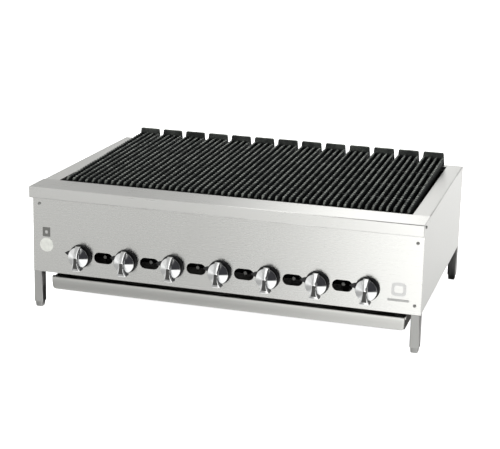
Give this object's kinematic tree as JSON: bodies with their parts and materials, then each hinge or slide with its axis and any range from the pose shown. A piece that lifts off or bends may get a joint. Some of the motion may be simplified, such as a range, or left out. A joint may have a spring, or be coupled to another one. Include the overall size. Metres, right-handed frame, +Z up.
{
  "type": "countertop charbroiler",
  "caption": "Countertop gas charbroiler with sloped cast-iron grates, control knobs, lighting ports, a front ledge, short legs and a pull-out grease drawer.",
  "frame": {"origin": "on the ground, under the centre of the bounding box", "axes": "+Z up, +Y from the control panel to the back, +X to the right of a cook facing the control panel"},
  "size_m": [1.067, 0.731, 0.3815],
  "materials": {
    "panel_stainless": "brushed along the width",
    "ledge_stainless": "brushed along the width",
    "side_stainless": "brushed front to back",
    "rear_stainless": "mill finish",
    "frame_stainless": "mill finish",
    "liner_steel": "heat-darkened",
    "drawer_stainless": "brushed along the width",
    "leg_stainless": "brushed",
    "foot_steel": "satin",
    "black_pipe": "black iron pipe",
    "burner_iron": "as cast",
    "radiant_iron": "as cast, heat-tinted",
    "valve_brass": "turned",
    "knob_chrome": "polished",
    "grate_iron": "seasoned black"
  },
  "bodies": {
    "chassis": {"control_panel": "panel_stainless", "front_ledge": "ledge_stainless", "side_panel_left": "side_stainless", "side_panel_right": "side_stainless", "rear_panel": "rear_stainless", "base_frame": "frame_stainless", "firebox_liner": "liner_steel", "grate_rest_front": "liner_steel", "grate_rest_rear": "liner_steel", "gas_manifold": "black_pipe", "burner_1": "burner_iron", "burner_2": "burner_iron", "burner_3": "burner_iron", "burner_4": "burner_iron", "burner_5": "burner_iron", "burner_6": "burner_iron", "burner_7": "burner_iron", "radiant_1": "radiant_iron", "radiant_2": "radiant_iron", "radiant_3": "radiant_iron", "radiant_4": "radiant_iron", "radiant_5": "radiant_iron", "radiant_6": "radiant_iron", "radiant_7": "radiant_iron", "gas_valve_1": "valve_brass", "gas_valve_2": "valve_brass", "gas_valve_3": "valve_brass", "gas_valve_4": "valve_brass", "gas_valve_5": "valve_brass", "gas_valve_6": "valve_brass", "gas_valve_7": "valve_brass", "leg_front_left": "leg_stainless", "leg_front_right": "leg_stainless", "leg_rear_left": "leg_stainless", "leg_rear_right": "leg_stainless"},
    "knob_1": {"knob_1": "knob_chrome"},
    "knob_2": {"knob_2": "knob_chrome"},
    "knob_3": {"knob_3": "knob_chrome"},
    "knob_4": {"knob_4": "knob_chrome"},
    "knob_5": {"knob_5": "knob_chrome"},
    "knob_6": {"knob_6": "knob_chrome"},
    "knob_7": {"knob_7": "knob_chrome"},
    "grate_01": {"grate_01": "grate_iron"},
    "grate_02": {"grate_02": "grate_iron"},
    "grate_03": {"grate_03": "grate_iron"},
    "grate_04": {"grate_04": "grate_iron"},
    "grate_05": {"grate_05": "grate_iron"},
    "grate_06": {"grate_06": "grate_iron"},
    "grate_07": {"grate_07": "grate_iron"},
    "grate_08": {"grate_08": "grate_iron"},
    "grate_09": {"grate_09": "grate_iron"},
    "grate_10": {"grate_10": "grate_iron"},
    "grate_11": {"grate_11": "grate_iron"},
    "grate_12": {"grate_12": "grate_iron"},
    "grate_13": {"grate_13": "grate_iron"},
    "grease_drawer": {"grease_drawer": "drawer_stainless"},
    "foot_front_left": {"foot_front_left": "foot_steel"},
    "foot_front_right": {"foot_front_right": "foot_steel"},
    "foot_rear_left": {"foot_rear_left": "foot_steel"},
    "foot_rear_right": {"foot_rear_right": "foot_steel"}
  },
  "joints": [
    {"name": "knob_1_turn", "type": "hinge", "parent": "chassis", "child": "knob_1", "pos_m": [-0.393, -0.3245, 0.159], "axis": [0, -1, 0], "range_deg": [0, 90]},
    {"name": "knob_2_turn", "type": "hinge", "parent": "chassis", "child": "knob_2", "pos_m": [-0.262, -0.3245, 0.159], "axis": [0, -1, 0], "range_deg": [0, 90]},
    {"name": "knob_3_turn", "type": "hinge", "parent": "chassis", "child": "knob_3", "pos_m": [-0.131, -0.3245, 0.159], "axis": [0, -1, 0], "range_deg": [0, 90]},
    {"name": "knob_4_turn", "type": "hinge", "parent": "chassis", "child": "knob_4", "pos_m": [0, -0.3245, 0.159], "axis": [0, -1, 0], "range_deg": [0, 90]},
    {"name": "knob_5_turn", "type": "hinge", "parent": "chassis", "child": "knob_5", "pos_m": [0.131, -0.3245, 0.159], "axis": [0, -1, 0], "range_deg": [0, 90]},
    {"name": "knob_6_turn", "type": "hinge", "parent": "chassis", "child": "knob_6", "pos_m": [0.262, -0.3245, 0.159], "axis": [0, -1, 0], "range_deg": [0, 90]},
    {"name": "knob_7_turn", "type": "hinge", "parent": "chassis", "child": "knob_7", "pos_m": [0.393, -0.3245, 0.159], "axis": [0, -1, 0], "range_deg": [0, 90]},
    {"name": "grate_01_lift", "type": "slide", "parent": "chassis", "child": "grate_01", "axis": [0, 0, 1], "range_m": [0, 0.12]},
    {"name": "grate_02_lift", "type": "slide", "parent": "chassis", "child": "grate_02", "axis": [0, 0, 1], "range_m": [0, 0.12]},
    {"name": "grate_03_lift", "type": "slide", "parent": "chassis", "child": "grate_03", "axis": [0, 0, 1], "range_m": [0, 0.12]},
    {"name": "grate_04_lift", "type": "slide", "parent": "chassis", "child": "grate_04", "axis": [0, 0, 1], "range_m": [0, 0.12]},
    {"name": "grate_05_lift", "type": "slide", "parent": "chassis", "child": "grate_05", "axis": [0, 0, 1], "range_m": [0, 0.12]},
    {"name": "grate_06_lift", "type": "slide", "parent": "chassis", "child": "grate_06", "axis": [0, 0, 1], "range_m": [0, 0.12]},
    {"name": "grate_07_lift", "type": "slide", "parent": "chassis", "child": "grate_07", "axis": [0, 0, 1], "range_m": [0, 0.12]},
    {"name": "grate_08_lift", "type": "slide", "parent": "chassis", "child": "grate_08", "axis": [0, 0, 1], "range_m": [0, 0.12]},
    {"name": "grate_09_lift", "type": "slide", "parent": "chassis", "child": "grate_09", "axis": [0, 0, 1], "range_m": [0, 0.12]},
    {"name": "grate_10_lift", "type": "slide", "parent": "chassis", "child": "grate_10", "axis": [0, 0, 1], "range_m": [0, 0.12]},
    {"name": "grate_11_lift", "type": "slide", "parent": "chassis", "child": "grate_11", "axis": [0, 0, 1], "range_m": [0, 0.12]},
    {"name": "grate_12_lift", "type": "slide", "parent": "chassis", "child": "grate_12", "axis": [0, 0, 1], "range_m": [0, 0.12]},
    {"name": "grate_13_lift", "type": "slide", "parent": "chassis", "child": "grate_13", "axis": [0, 0, 1], "range_m": [0, 0.12]},
    {"name": "grease_drawer_slide", "type": "slide", "parent": "chassis", "child": "grease_drawer", "axis": [0, -1, 0], "range_m": [0, 0.5]},
    {"name": "foot_front_left_screw", "type": "slide", "parent": "chassis", "child": "foot_front_left", "axis": [0, 0, -1], "range_m": [0, 0.02]},
    {"name": "foot_front_right_screw", "type": "slide", "parent": "chassis", "child": "foot_front_right", "axis": [0, 0, -1], "range_m": [0, 0.02]},
    {"name": "foot_rear_left_screw", "type": "slide", "parent": "chassis", "child": "foot_rear_left", "axis": [0, 0, -1], "range_m": [0, 0.02]},
    {"name": "foot_rear_right_screw", "type": "slide", "parent": "chassis", "child": "foot_rear_right", "axis": [0, 0, -1], "range_m": [0, 0.02]}
  ]
}
